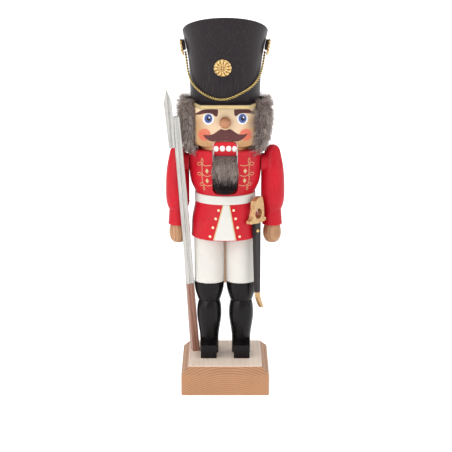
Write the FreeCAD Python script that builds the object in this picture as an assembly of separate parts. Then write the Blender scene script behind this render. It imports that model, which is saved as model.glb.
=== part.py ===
"""A turned-wood soldier nutcracker with a hinged jaw lever, millimetres.

The origin lies on the underside of the base, below the axis on which the body, head and hat
are turned. +Z is up and -Y is the front, so the figure's own right side is at -X.
"""
import math
import os

import FreeCAD
import Part

V = FreeCAD.Vector
X_AXIS = V(1, 0, 0)
Z_AXIS = V(0, 0, 1)

# Base block
BASE_WIDTH = 93.5
BASE_FRONT = -62.8
BASE_BACK = 50.5
BASE_TOP = 30.5
BASE_CHAMFER = 7.9

# Levels of the turned stack, from the base upwards
KNEE_Z = 111.3
HEM_Z = 162.8
BELT_LOW = 201.5
BELT_HIGH = 210.9
SHOULDER_Z = 259.0
CHIN_Z = 263.0
HEAD_TOP = 305.8
VISOR_TOP = 310.2
HAT_CUT_Z = 383.0
HAT_CUT_SLOPE = 0.383

LEG_X = 17.4
TROUSER_X = 17.1
ARM_X = 50.8
CHEST_R = 38.5
ARM_GAP = 0.15
HEAD_R = 39.0
FACE_Y = -25.0
NOSE_Z = 289.3
NOSE_R = 6.2
VISOR_R = 38.5

# Slot for the lever, cut through the coat and the head from front to back
SLOT_HALF = 13.5
SLOT_FLOOR = 212.7
SLOT_ROOF = 268.9
SLOT_CORNER = 6.5
LEVER_GAP = 0.7
PIVOT_Y = 6.0
PIVOT_Z = 222.0
PIN_R = 2.5
RUNNING = 0.05

# Dowels and their glue clearance
DOWEL_R = 4.0
DOWEL_DEPTH = 14.0
NECK_DOWEL_X = 20.5
NECK_DOWEL_Y = 8.0
NECK_DOWEL_R = 3.0
HAT_DOWEL_R = 6.0
SHOULDER_DOWEL_R = 3.0
SHOULDER_DOWEL_Z = 236.5
SHOULDER_R = 10.2
SHOULDER_FLAT_Z = 242.0
GLUE = 0.1

# Rifle: the middle of its front face, how it leans and how it is turned about its length
RIFLE_FOOT = V(-31.6, 0.6, BASE_TOP)
RIFLE_LEAN_X = -0.0732
RIFLE_LEAN_Y = -0.112
RIFLE_TURN = 12.0
RIFLE_LENGTH = 267.5
BARREL_FOOT = 79.5
BARREL_DEEP = 3.6
PEG_START = V(-42.3, -10.4, 166.0)
PEG_END = V(-48.2, -2.4, 166.0)

# Sabre: the direction that its flat side faces, and the distances of its two faces
SABRE_TURN = -38.0
SABRE_INNER = 37.2
HILT_THICK = 5.8
SCABBARD_THICK = 4.8
NAIL_Z = 171.8
NAIL_ALONG = 2.8

# Brass flower buttons: how far the side ones lean downwards, and the pads behind them
SIDE_TILT = math.radians(10)
PAD_DEEP = 2.9
PAD_FOOT_Z = 363.2

# Twisted hat cord: the route of its centre, under one side rosette, round the front of the
# hat and up under the other
CORD_R = 1.35
CORD_ROUTE = [
    V(-42.1, -1.0, 361.6),
    V(-40.96, -2.72, 353.4),
    V(-39.87, -5.89, 345.2),
    V(-38.16, -11.3, 337.2),
    V(-34.73, -18.82, 330.2),
    V(-28.53, -26.98, 324.1),
    V(-20.31, -33.41, 319.1),
    V(-11.15, -37.32, 315.7),
    V(-1.73, -38.86, 314.9),
    V(7.87, -38.23, 317.1),
    V(17.09, -35.26, 321.3),
    V(25.43, -29.96, 325.4),
    V(31.94, -23.24, 330.2),
    V(36.67, -15.47, 336.7),
    V(39.44, -8.2, 344.8),
    V(40.86, -3.33, 353.2),
    V(42.1, -1.0, 361.6),
]


# ---------------------------------------------------------------- outlines and solids

def lines(*points):
    """Straight stretches through the points, one after another."""
    return [list(pair) for pair in zip(points, points[1:])]


def curve(*points):
    """One smooth stretch through the points."""
    return [list(points)]


def edge_through(points):
    if len(points) == 2:
        return Part.makeLine(points[0], points[1])
    spline = Part.BSplineCurve()
    spline.interpolate(points)
    return spline.toShape()


def closed_face(stretches, place):
    """The flat face inside the stretches; place turns a pair of numbers into a point."""
    edges = [edge_through([place(*pair) for pair in stretch]) for stretch in stretches]
    return Part.Face(Part.Wire(edges))


def turned(stretches, x=0.0):
    """A turning about a vertical axis, from an outline of (radius, height) pairs.

    The outline starts at the back, so that the seam lies clear of the bores at the sides.
    """
    face = closed_face(stretches, lambda radius, height: V(x, radius, height))
    return face.revolve(V(x, 0, 0), Z_AXIS, 360)


def side_slab(stretches, half_width):
    """A board seen from the side: an outline of (y, z) pairs, as wide as 2 * half_width."""
    face = closed_face(stretches, lambda y, z: V(-half_width, y, z))
    return face.extrude(V(2 * half_width, 0, 0))


def front_slab(stretches, y_front, y_back):
    """A board seen from the front: an outline of (x, z) pairs between two depths."""
    face = closed_face(stretches, lambda x, z: V(x, y_front, z))
    return face.extrude(V(0, y_back - y_front, 0))


def plan_slab(stretches, z_low, z_high):
    """A board seen from above: an outline of (x, y) pairs between two heights."""
    face = closed_face(stretches, lambda x, y: V(x, y, z_low))
    return face.extrude(V(0, 0, z_high - z_low))


def box(x_low, x_high, y_low, y_high, z_low, z_high):
    return Part.makeBox(x_high - x_low, y_high - y_low, z_high - z_low, V(x_low, y_low, z_low))


def rod(radius, start, end):
    """A round bar from one point to another."""
    return Part.makeCylinder(radius, (end - start).Length, start, end - start)


def edges_along(shape, direction, keep):
    """The straight edges of a shape that run along a direction and pass a test."""
    found = []
    for edge in shape.Edges:
        if not isinstance(edge.Curve, (Part.Line, Part.LineSegment)):
            continue
        run = edge.Vertexes[-1].Point - edge.Vertexes[0].Point
        if run.Length > 0 and run.cross(direction).Length < 1e-6 * run.Length:
            if keep(edge.CenterOfMass):
                found.append(edge)
    return found


def cut_each(shape, cutters):
    """The shape with each cutter taken away in turn."""
    for cutter in cutters:
        shape = shape.cut(cutter)
    return shape


def mirrored(shape):
    """The same piece on the figure's other side."""
    return shape.mirror(V(0, 0, 0), X_AXIS)


# ---------------------------------------------------------------- base and legs

def dowel(x, y, level, radius=DOWEL_R):
    """An upright dowel across the joint at a level."""
    reach = DOWEL_DEPTH - 1.0
    return rod(radius, V(x, y, level - reach), V(x, y, level + reach))


def dowel_bore(x, y, level, radius=DOWEL_R):
    return rod(radius + GLUE, V(x, y, level - DOWEL_DEPTH), V(x, y, level + DOWEL_DEPTH))


def bevelled(low, high, rise, cut):
    """A rectangle's outline with its two upper corners cut off; rise is its height."""
    return lines((low + 0.8, 0), (high - 0.8, 0), (high, 0.8), (high, rise - cut), (high - cut, rise),
                 (low + cut, rise), (low, rise - cut), (low, 0.8), (low + 0.8, 0))


def base_block():
    """A block with a wide bevel round its top, made where three outlines cross."""
    half = BASE_WIDTH / 2
    corner = 1.2
    from_front = front_slab(bevelled(-half, half, BASE_TOP, BASE_CHAMFER), BASE_FRONT, BASE_BACK)
    from_side = side_slab(bevelled(BASE_FRONT, BASE_BACK, BASE_TOP, BASE_CHAMFER), half)
    from_above = plan_slab(lines(
        (-half + corner, BASE_FRONT), (half - corner, BASE_FRONT), (half, BASE_FRONT + corner),
        (half, BASE_BACK - corner), (half - corner, BASE_BACK), (-half + corner, BASE_BACK),
        (-half, BASE_BACK - corner), (-half, BASE_FRONT + corner), (-half + corner, BASE_FRONT),
    ), 0, BASE_TOP)
    return from_front.common(from_side).common(from_above).cut(leg_bores(BASE_TOP))


def leg_bores(level):
    return dowel_bore(-LEG_X, 0, level).fuse(dowel_bore(LEG_X, 0, level))


def boot():
    """One turned boot: shaft, a groove below the knee and a flared cuff."""
    shaft = turned(
        lines((0, BASE_TOP), (10.1, BASE_TOP), (10.1, 46.0))
        + curve((10.1, 46.0), (11.6, 60.0), (13.2, 71.0), (13.3, 80.0), (11.9, 89.0))
        + lines((11.9, 89.0), (11.4, 90.2), (12.3, 91.4))
        + curve((12.3, 91.4), (14.1, 97.0), (15.6, 103.0), (16.2, KNEE_Z))
        + lines((16.2, KNEE_Z), (0, KNEE_Z), (0, BASE_TOP)),
        x=LEG_X,
    )
    return shaft.cut([dowel_bore(LEG_X, 0, BASE_TOP), dowel_bore(LEG_X, 0, KNEE_Z)])


def toe(boot_shape):
    """The square toe, cut to fit against the shaft."""
    block = side_slab(lines((-27, BASE_TOP), (-27, 44.8), (-4, 48.6), (-4, BASE_TOP), (-27, BASE_TOP)), 8.65)
    block = block.makeFillet(1.0, edges_along(block, Z_AXIS, lambda p: p.y < -20))
    block.translate(V(LEG_X + 0.5, 0, 0))
    return block.cut([boot_shape, dowel_bore(LEG_X, 0, BASE_TOP)])


def trouser():
    """One white trouser leg, slightly fuller at the hip."""
    leg = turned(
        lines((0, KNEE_Z), (15.2, KNEE_Z))
        + curve((15.2, KNEE_Z), (15.9, 111.7), (16.2, 112.8))
        + curve((16.2, 112.8), (16.3, 122.0), (16.5, 140.0), (16.9, HEM_Z))
        + lines((16.9, HEM_Z), (0, HEM_Z), (0, KNEE_Z)),
        x=TROUSER_X,
    )
    return leg.cut([dowel_bore(LEG_X, 0, KNEE_Z), dowel_bore(LEG_X, 0, HEM_Z)])


# ---------------------------------------------------------------- body, head and hat

def arch(half_width, floor, roof, corner, y_front, y_back):
    """A prism along Y with rounded lower and upper corners, as a slot cutter leaves it."""
    block = box(-half_width, half_width, y_front, y_back, floor, roof)
    return block.makeFillet(corner, edges_along(block, V(0, 1, 0), lambda p: True))


def lever_slot():
    return arch(SLOT_HALF, SLOT_FLOOR, SLOT_ROOF, SLOT_CORNER, -70, 70)


def neck_bores():
    return [dowel_bore(side * NECK_DOWEL_X, NECK_DOWEL_Y, SHOULDER_Z, NECK_DOWEL_R) for side in (-1, 1)]


def shoulder_bore(side):
    start = V(side * 27, 0, SHOULDER_DOWEL_Z)
    end = V(side * 48, 0, SHOULDER_DOWEL_Z)
    return rod(SHOULDER_DOWEL_R + GLUE, end, start)


def shoulder_dowel(side):
    start = V(side * 28, 0, SHOULDER_DOWEL_Z)
    end = V(side * 47, 0, SHOULDER_DOWEL_Z)
    return rod(SHOULDER_DOWEL_R, start, end)


def torso():
    """The coat: a turned skirt, a groove for the belt and a full chest."""
    coat = turned(
        lines((0, HEM_Z), (36.0, HEM_Z), (36.7, HEM_Z + 0.7))
        + curve((36.7, HEM_Z + 0.7), (36.2, 171.0), (35.4, 184.0), (33.4, 194.0), (32.1, BELT_LOW))
        + lines((32.1, BELT_LOW), (31.2, BELT_LOW), (31.2, BELT_HIGH), (31.9, BELT_HIGH))
        + curve((31.9, BELT_HIGH), (33.1, 214.0), (35.5, 219.2), (37.7, 227.5),
                (CHEST_R, 238.0), (CHEST_R - 0.1, 252.0), (CHEST_R - 0.4, 258.0))
        + lines((CHEST_R - 0.4, 258.0), (CHEST_R - 1.2, SHOULDER_Z), (0, SHOULDER_Z), (0, HEM_Z))
    )
    pin_bore = rod(PIN_R + RUNNING / 2, V(-31, PIVOT_Y, PIVOT_Z), V(45, PIVOT_Y, PIVOT_Z))
    nail_bore = along_nail(24.0, SABRE_INNER + 2, 0.9 + GLUE)
    bores = [leg_bores(HEM_Z), pin_bore, nail_bore, shoulder_bore(-1), shoulder_bore(1), *neck_bores()]
    return cut_each(coat, [*bores, lever_slot()])


def belt():
    """The white belt, a strip laid into the coat's groove."""
    gap = 0.05
    return turned(lines(
        (31.2 + gap, BELT_LOW + gap), (32.4, BELT_LOW + gap), (32.8, BELT_LOW + 0.6),
        (32.8, BELT_HIGH - 0.6), (32.4, BELT_HIGH - gap), (31.2 + gap, BELT_HIGH - gap),
        (31.2 + gap, BELT_LOW + gap),
    ))


def head():
    """A turned drum with a narrow neck, a flat sawn face and the upper end of the slot."""
    rounding = 7.0
    drum = turned(
        lines((0, SHOULDER_Z), (27.0, SHOULDER_Z), (27.0, CHIN_Z), (HEAD_R - rounding, CHIN_Z))
        + curve((HEAD_R - rounding, CHIN_Z), (HEAD_R - 0.29 * rounding, CHIN_Z + 0.29 * rounding),
                (HEAD_R, CHIN_Z + rounding))
        + lines((HEAD_R, CHIN_Z + rounding), (HEAD_R, HEAD_TOP), (0, HEAD_TOP), (0, SHOULDER_Z))
    )
    in_front = box(-60, 60, -60, FACE_Y, CHIN_Z, HEAD_TOP)
    nose_bore = rod(2.6, V(0, FACE_Y - 1, NOSE_Z), V(0, FACE_Y + 7, NOSE_Z))
    hat_bore = dowel_bore(0, 0, HEAD_TOP, HAT_DOWEL_R)
    return cut_each(drum, [in_front, lever_slot(), nose_bore, hat_bore, *neck_bores()])


def nose():
    """A turned ball, flattened where it is glued on, with a short peg."""
    ball = Part.makeSphere(NOSE_R, V(0, FACE_Y - 4.2, NOSE_Z))
    ball = ball.cut(box(-20, 20, FACE_Y, 0, NOSE_Z - 20, NOSE_Z + 20))
    return ball.fuse(rod(2.5, V(0, FACE_Y - 2, NOSE_Z), V(0, FACE_Y + 6, NOSE_Z))).removeSplitter()


def visor():
    """The peaked brim: a thin board, square at the front and round behind."""
    side_x = 34.5
    side_y = -math.sqrt(VISOR_R ** 2 - side_x ** 2)
    plan = lines((side_x, side_y), (25.7, -42.5), (-25.7, -42.5), (-side_x, side_y))
    face_edges = [edge_through([V(x, y, HEAD_TOP) for x, y in stretch]) for stretch in plan]
    back = Part.Arc(V(-side_x, side_y, HEAD_TOP), V(0, VISOR_R, HEAD_TOP), V(side_x, side_y, HEAD_TOP))
    board = Part.Face(Part.Wire(face_edges + [back.toShape()])).extrude(V(0, 0, VISOR_TOP - HEAD_TOP))
    board = board.makeChamfer(0.5, [e for e in board.Edges if abs(e.CenterOfMass.z - VISOR_TOP) < 1e-6])
    return board.cut(dowel_bore(0, 0, HEAD_TOP, HAT_DOWEL_R))


def hat():
    """A flared hat, sawn off on a slope that is highest at the front."""
    body = turned(
        lines((0, VISOR_TOP), (36.5, VISOR_TOP))
        + curve((36.5, VISOR_TOP), (37.1, 319.0), (37.8, 337.0), (39.1, 354.0), (42.6, 372.0), (45.1, 383.0),
                (48.6, 404.0))
        + lines((48.6, 404.0), (0, 404.0), (0, VISOR_TOP))
    )
    above = side_slab(lines(
        (-80, HAT_CUT_Z + 80 * HAT_CUT_SLOPE), (-80, 480), (80, 480),
        (80, HAT_CUT_Z - 80 * HAT_CUT_SLOPE), (-80, HAT_CUT_Z + 80 * HAT_CUT_SLOPE),
    ), 80)
    body = body.cut(above)
    top = max(body.Faces, key=lambda face: face.CenterOfMass.z)
    body = body.makeChamfer(0.9, top.Edges)
    shanks = []
    for place in ROSETTE_PLACES.values():
        shank = rod(1.25, V(0, 0, -9), V(0, 0, 1))
        shank.Placement = place
        shanks.append(shank)
    return cut_each(body, [dowel_bore(0, 0, HEAD_TOP, HAT_DOWEL_R), *shanks])


def facing(point, direction):
    """A placement at a point, with its local Z along a direction."""
    return FreeCAD.Placement(point, FreeCAD.Rotation(Z_AXIS, direction))


ROSETTE_PLACES = {
    "rosette_front": facing(V(-2.6, -39.0, 348.2), V(-0.067, -0.995, -0.075)),
    "rosette_right": facing(V(-44.8, 0, 366.0), V(-math.cos(SIDE_TILT), 0, -math.sin(SIDE_TILT))),
    "rosette_left": facing(V(44.8, 0, 366.0), V(math.cos(SIDE_TILT), 0, -math.sin(SIDE_TILT))),
}


def rosette(place, pad_deep):
    """A domed brass flower button on a shank; its back lies in the local XY plane.

    A pad behind it fills the room to the hat, and stops above the end of the cord.
    """
    dome = turned(
        lines((0, 0), (9.2, 0), (9.5, 0.5), (9.5, 1.2))
        + curve((9.5, 1.2), (6.6, 2.2), (3.4, 2.7), (0, 2.9))
        + lines((0, 2.9), (0, 0))
    )
    petals = 12
    for index in range(petals):
        angle = 2 * math.pi * (index + 0.5) / petals
        notch = rod(0.9, V(9.9 * math.cos(angle), 9.9 * math.sin(angle), -1),
                    V(9.9 * math.cos(angle), 9.9 * math.sin(angle), 5))
        dome = dome.cut(notch)
    button = dome.fuse(rod(1.15, V(0, 0, -8), V(0, 0, 1)))
    button.Placement = place
    if pad_deep:
        pad = rod(8.0, V(0, 0, -pad_deep), V(0, 0, 0.1))
        pad.Placement = place
        button = button.fuse(pad.cut(box(-60, 60, -20, 20, 340, PAD_FOOT_Z)))
    return button.removeSplitter()


# ---------------------------------------------------------------- cord

def corner_radius(before, corner, after):
    """The radius of the arc that rounds a corner of the cord's route, and its set-back."""
    turn = (corner - before).getAngle(after - corner)
    shorter = min((corner - before).Length, (after - corner).Length)
    return 0.45 * shorter / math.tan(turn / 2), 0.45 * shorter


def hat_cord():
    """A tube along straight runs joined by tangent arcs."""
    edges = []
    radii = []
    start = CORD_ROUTE[0]
    for before, corner, after in zip(CORD_ROUTE, CORD_ROUTE[1:], CORD_ROUTE[2:]):
        radius, set_back = corner_radius(before, corner, after)
        radii.append(radius)
        enter = corner + (before - corner).normalize() * set_back
        leave = corner + (after - corner).normalize() * set_back
        inward = ((before - corner).normalize() + (after - corner).normalize()).normalize()
        middle = corner + inward * (math.hypot(radius, set_back) - radius)
        edges.append(Part.LineSegment(start, enter).toShape())
        edges.append(Part.Arc(enter, middle, leave).toShape())
        start = leave
    edges.append(Part.LineSegment(start, CORD_ROUTE[-1]).toShape())
    path = Part.Wire(edges)
    ring = Part.Wire([Part.makeCircle(CORD_R, CORD_ROUTE[0], CORD_ROUTE[1] - CORD_ROUTE[0])])
    tube = path.makePipeShell([ring], True, False)
    print("cord radii", [round(radius, 1) for radius in radii])
    print("cord length", round(path.Length, 2), "volume", round(tube.Volume, 1),
          "section times length", round(math.pi * CORD_R ** 2 * path.Length, 1))
    return tube


# ---------------------------------------------------------------- hair, jaw and lever

def wig(neighbours):
    """The fur round the sides and back of the head, open over the lever's slot."""
    foot_r = CHEST_R + 0.4
    fur = turned(
        curve((foot_r, 251.2), (39.8, 251.5), (42.4, 255.0), (45.6, 262.0), (49.4, 273.0), (51.4, 289.0),
              (50.6, 300.0), (48.0, 309.5), (44.5, 313.2), (41.0, 313.4), (39.2, 311.0))
        + lines((39.2, 311.0), (39.2, 262.0), (foot_r, 258.0), (foot_r, 251.2))
    )
    in_front = box(-80, 80, -80, -25.5, 240, 330)
    behind_slot = box(-16, 16, 0, 80, 240, 270)
    fur = cut_each(fur, [in_front, behind_slot, *neighbours])
    return max(fur.Solids, key=lambda solid: solid.Volume)


def jaw_lever():
    """Jaw, arm and handle in one board; the jaw's corners follow the slot."""
    half = SLOT_HALF - LEVER_GAP
    board = side_slab(
        lines((-26.5, 235.0), (-26.5, SLOT_ROOF - LEVER_GAP), (-19.5, SLOT_ROOF - LEVER_GAP), (-18.8, 257.4))
        + curve((-18.8, 257.4), (-6.0, 255.6), (7.0, 257.0))
        + curve((7.0, 257.0), (22.0, 254.0), (36.0, 248.0), (44.0, 246.8), (49.0, 241.0))
        + curve((49.0, 241.0), (48.6, 200.0), (47.4, 150.0), (48.6, 112.0), (50.0, 99.5))
        + curve((50.0, 99.5), (47.2, 96.4), (44.0, 98.6))
        + curve((44.0, 98.6), (42.2, 112.0), (39.6, 150.0), (38.0, 190.0), (37.5, 216.4))
        + lines((37.5, 216.4), (36.5, 215.4), (9.0, 215.4))
        + curve((9.0, 215.4), (1.0, 217.6), (-5.0, 222.6), (-14.0, 228.4), (-26.5, 235.0)),
        half,
    )
    section = arch(half, SLOT_FLOOR + LEVER_GAP, SLOT_ROOF - LEVER_GAP, SLOT_CORNER - LEVER_GAP, -30, 36)
    handle = front_slab(
        lines((-half, 250), (half, 250), (half, 205))
        + curve((half, 205), (11.6, 160), (10.0, 108), (0, 96.0), (-10.0, 108), (-11.6, 160), (-half, 205))
        + lines((-half, 205), (-half, 250)),
        36, 60,
    )
    lever = board.common(section.fuse(handle))
    pin_bore = rod(PIN_R + RUNNING, V(-20, PIVOT_Y, PIVOT_Z), V(20, PIVOT_Y, PIVOT_Z))
    return lever.cut(pin_bore).removeSplitter()


def beard():
    """The fur beard: a root glued to the jaw's front and a fall that hangs before the coat."""
    front = -26.6
    outer = [(-42.0, 240.0), (-43.5, 228.0), (-43.5, 219.0), (-42.7, 214.0), (-42.0, 214.0),
             (-40.7, 220.0), (-39.5, 227.0), (-39.2, 236.0)]
    root = side_slab(lines(
        (front, 255.0), (-31.0, 254.6), (-38.0, 250.0), *outer,
        (-30.0, 238.0), (front, 238.0), (front, 255.0),
    ), SLOT_HALF - LEVER_GAP - 0.2)
    fall = side_slab(lines((-39.2, 248.0), *outer, (-39.2, 248.0)), SLOT_HALF + 0.8)
    top = 12.6
    right_side = [(top, 256.0), (13.3, 248.0), (14.1, 239.0), (13.8, 230.0), (11.9, 221.5), (8.6, 217.0)]
    left_side = [(-x, z) for x, z in reversed(right_side)]
    rounded = front_slab(
        curve(*right_side, (0, 214.4), *left_side) + lines((-top, 256.0), (top, 256.0)),
        -50, -20,
    )
    return root.fuse(fall).common(rounded).removeSplitter()


def pivot_pin():
    return rod(PIN_R, V(-30, PIVOT_Y, PIVOT_Z), V(33, PIVOT_Y, PIVOT_Z))


# ---------------------------------------------------------------- arms and hands

def arm():
    """One sleeve with its cuff, turned in one piece, and a flat shoulder that meets the chest."""
    turning = turned(
        curve((0, 261.3), (4.4, 260.4), (7.4, 257.0), (9.1, 251.0), (10.8, 243.0), (12.7, 228.0),
              (13.2, 211.6), (11.9, 197.0), (9.4, 190.6))
        + lines((9.4, 190.6), (9.7, 190.0), (10.8, 175.1), (10.3, 174.5), (0, 174.5), (0, 261.3)),
        x=ARM_X,
    )
    shoulder = rod(SHOULDER_R, V(CHEST_R + ARM_GAP, 0, SHOULDER_FLAT_Z), V(ARM_X, 0, SHOULDER_FLAT_Z))
    towards_chest = box(0, CHEST_R + ARM_GAP, -40, 40, 200, 270)
    sleeve = turning.cut(towards_chest.fuse(shoulder)).fuse(shoulder)
    wrist = rod(3.5 + GLUE, V(ARM_X, 0, 174), V(ARM_X, 0, 186))
    return sleeve.cut([shoulder_bore(1), wrist])


def hand():
    """A plain egg with a spigot that goes up into the sleeve."""
    egg = turned(
        lines((0, 174.5), (8.2, 174.5))
        + curve((8.2, 174.5), (9.6, 169.0), (9.5, 162.0), (6.9, 156.4), (0, 154.2))
        + lines((0, 154.2), (0, 174.5)),
        x=ARM_X,
    )
    return egg.fuse(rod(3.5, V(ARM_X, 0, 173), V(ARM_X, 0, 185))).removeSplitter()


# ---------------------------------------------------------------- rifle

def rifle_place():
    """Local X runs across the rifle, Y into its depth and Z along its length."""
    along = V(RIFLE_LEAN_X, RIFLE_LEAN_Y, 1).normalize()
    turn = math.radians(RIFLE_TURN)
    deep = along.cross(V(math.cos(turn), math.sin(turn), 0)).normalize()
    across = deep.cross(along)
    return FreeCAD.Placement(RIFLE_FOOT, FreeCAD.Rotation(across, deep, along, "ZXY"))


def barrel_outline():
    return (
        curve((-4.0, BARREL_FOOT), (-4.35, 150.0), (-4.2, 200.0), (-3.1, RIFLE_LENGTH))
        + lines((-3.1, RIFLE_LENGTH), (3.1, RIFLE_LENGTH))
        + curve((3.1, RIFLE_LENGTH), (4.2, 200.0), (4.35, 150.0), (4.0, BARREL_FOOT))
        + lines((4.0, BARREL_FOOT), (-4.0, BARREL_FOOT))
    )


def rifle_barrel():
    """The silver barrel strip, grooved along its middle."""
    strip = front_slab(barrel_outline(), 0, BARREL_DEEP)
    corners = [e for e in strip.Edges if abs(e.CenterOfMass.y) < 0.01 and abs(e.CenterOfMass.x) > 2]
    strip = strip.makeFillet(0.9, corners)
    groove = rod(1.0, V(0, -0.45, BARREL_FOOT - 5), V(0, -0.45, RIFLE_LENGTH + 5))
    strip = strip.cut(groove)
    strip.Placement = rifle_place()
    return strip


def rifle_stock():
    """The walnut stock behind the barrel; below the barrel it steps forward and widens."""
    stock_top = 246.0
    side = (
        lines((0, -6), (0, BARREL_FOOT - 0.2), (BARREL_DEEP, BARREL_FOOT - 0.2), (BARREL_DEEP, stock_top),
              (6.0, stock_top))
        + curve((6.0, stock_top), (6.0, 200.0), (5.6, 140.0), (6.6, 105.0))
        + curve((6.6, 105.0), (8.6, 84.0), (13.0, 45.0), (16.0, -6))
        + lines((16.0, -6), (0, -6))
    )
    board = side_slab(side, 3.8)
    board = board.makeFillet(0.8, edges_along(board, Z_AXIS, lambda p: p.y < 0.1))
    board.Placement = rifle_place()
    return board.cut([box(-90, 0, -60, 60, -20, BASE_TOP), rifle_peg_bar(1.0 + RUNNING, 0.5)])


def bayonet():
    """A pointed blade glued to the barrel's outer side."""
    blade = front_slab(lines(
        (-10.6, 234.0), (-4.0, 234.0), (-3.8, 277.0), (-4.1, 284.5), (-8.0, 297.4), (-12.1, 283.0),
        (-11.7, 272.0), (-10.6, 234.0),
    ), 0.6, 3.0)
    ridge = side_slab(lines((0.0, 236.0), (0.6, 235.0), (0.6, 292.0), (0.0, 289.0), (0.0, 236.0)), 0.5)
    ridge.translate(V(-7.7, 0, 0))
    blade = blade.fuse(ridge).removeSplitter()
    blade.Placement = rifle_place()
    return blade


def rifle_peg_bar(radius, longer):
    along = (PEG_END - PEG_START).normalize()
    return rod(radius, PEG_START - along * longer, PEG_END + along * longer)


# ---------------------------------------------------------------- sabre

def sabre_point(distance, along, z):
    """A point at a distance outwards from the figure's axis and so far along the flat side."""
    turn = math.radians(SABRE_TURN)
    out = V(math.cos(turn), math.sin(turn), 0)
    return out * distance + V(-out.y, out.x, 0) * along + V(0, 0, z)


def sabre_slab(stretches, inner, outer):
    """A board parallel to the sabre's flat side: (along, z) pairs between two distances."""
    face = closed_face(stretches, lambda along, z: sabre_point(inner, along, z))
    return face.extrude(sabre_point(outer - inner, 0, 0))


def along_nail(start, end, radius):
    """A bar on the scabbard nail's line between two distances from the figure's axis."""
    return rod(radius, sabre_point(start, NAIL_ALONG, NAIL_Z), sabre_point(end, NAIL_ALONG, NAIL_Z))


def sabre_hilt():
    """A flat knuckle guard with a round finger hole, on a crossguard with drooping ends."""
    plate = sabre_slab(
        lines((-3.2, 204.6), (4.6, 208.4), (9.2, 208.4))
        + curve((9.2, 208.4), (11.2, 203.5), (12.6, 195.5), (13.1, 185.6))
        + lines((13.1, 185.6), (16.2, 184.6), (16.2, 181.6))
        + curve((16.2, 181.6), (10.0, 180.6), (2.5, 180.2), (-5.0, 180.6), (-10.4, 181.0))
        + lines((-10.4, 181.0), (-11.0, 184.0))
        + curve((-11.0, 184.0), (-7.2, 186.2), (-4.8, 191.0), (-3.2, 204.6)),
        SABRE_INNER, SABRE_INNER + HILT_THICK,
    )
    hole = rod(5.7, sabre_point(20, 3.0, 190.6), sabre_point(60, 3.0, 190.6))
    return plate.cut(hole)


def sabre_scabbard():
    stick = sabre_slab(
        lines((-1.0, 180.1), (8.1, 180.1), (7.8, 103.2), (3.0, 103.2), (-1.0, 180.1)),
        SABRE_INNER + 0.1, SABRE_INNER + SCABBARD_THICK,
    )
    hilt_room = sabre_hilt()
    return stick.cut([along_nail(SABRE_INNER - 1, SABRE_INNER + 8, 0.9 + GLUE), hilt_room])


def scabbard_chape():
    """The metal-coloured tip, curved towards the back."""
    return sabre_slab(
        lines((3.0, 103.1), (7.8, 103.1))
        + curve((7.8, 103.1), (9.8, 95.0), (14.0, 86.6))
        + curve((14.0, 86.6), (13.4, 84.8), (11.3, 85.0))
        + curve((11.3, 85.0), (6.8, 91.5), (3.0, 103.1)),
        SABRE_INNER + 0.4, SABRE_INNER + SCABBARD_THICK - 0.3,
    )


def scabbard_nail():
    seat = SABRE_INNER + SCABBARD_THICK
    shank = along_nail(25.0, seat + 0.3, 0.9)
    ball = Part.makeSphere(2.2, sabre_point(seat - 0.5, NAIL_ALONG, NAIL_Z))
    in_scabbard = along_nail(seat - 6, seat + 0.02, 5)
    return shank.fuse(ball.cut(in_scabbard)).removeSplitter()


# ---------------------------------------------------------------- the whole figure

def build():
    boot_left = boot()
    toe_left = toe(boot_left)
    trouser_left = trouser()
    arm_left = arm()
    hand_left = hand()
    barrel = rifle_barrel()
    stock = rifle_stock()
    hand_right = mirrored(hand_left).cut(rifle_peg_bar(1.0 + RUNNING, 0.5))
    parts = {
        "base_block": base_block(),
        "boot_left": boot_left,
        "boot_right": mirrored(boot_left),
        "toe_left": toe_left,
        "toe_right": mirrored(toe_left),
        "trouser_left": trouser_left,
        "trouser_right": mirrored(trouser_left),
        "torso": torso(),
        "belt": belt(),
        "head": head(),
        "nose": nose(),
        "visor": visor(),
        "hat": hat(),
        "hat_cord": hat_cord(),
        "hat_dowel": dowel(0, 0, HEAD_TOP, HAT_DOWEL_R),
        "wig": wig([visor(), barrel, stock, arm_left, mirrored(arm_left)]),
        "jaw_lever": jaw_lever(),
        "beard": beard(),
        "pivot_pin": pivot_pin(),
        "arm_left": arm_left,
        "arm_right": mirrored(arm_left),
        "hand_left": hand_left,
        "hand_right": hand_right,
        "rifle_barrel": barrel,
        "rifle_stock": stock,
        "bayonet": bayonet(),
        "rifle_peg": rifle_peg_bar(1.0, 0),
        "sabre_hilt": sabre_hilt(),
        "sabre_scabbard": sabre_scabbard(),
        "scabbard_chape": scabbard_chape(),
        "scabbard_nail": scabbard_nail(),
        "neck_dowels": Part.makeCompound([
            dowel(side * NECK_DOWEL_X, NECK_DOWEL_Y, SHOULDER_Z, NECK_DOWEL_R) for side in (-1, 1)
        ]),
        "shoulder_dowels": Part.makeCompound([shoulder_dowel(-1), shoulder_dowel(1)]),
    }
    for name, level in (("ankle_dowels", BASE_TOP), ("knee_dowels", KNEE_Z), ("hip_dowels", HEM_Z)):
        parts[name] = Part.makeCompound([dowel(side * LEG_X, 0, level) for side in (-1, 1)])
    for name, place in ROSETTE_PLACES.items():
        parts[name] = rosette(place, 0 if name == "rosette_front" else PAD_DEEP)
    return parts


os.makedirs("parts", exist_ok=True)
for name, shape in build().items():
    print(f"{name:18s} solids {len(shape.Solids)} valid {shape.isValid()} volume {shape.Volume:.1f}")
    shape.exportStep(f"parts/{name}.step")
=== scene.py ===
"""The looks of the soldier nutcracker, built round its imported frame.

Everything is in metres, +Z up, with the figure's front towards -Y. Painted decoration is
laid out in millimetres, as (x, z) places on the surface that it is painted on.
"""

import math

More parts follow.
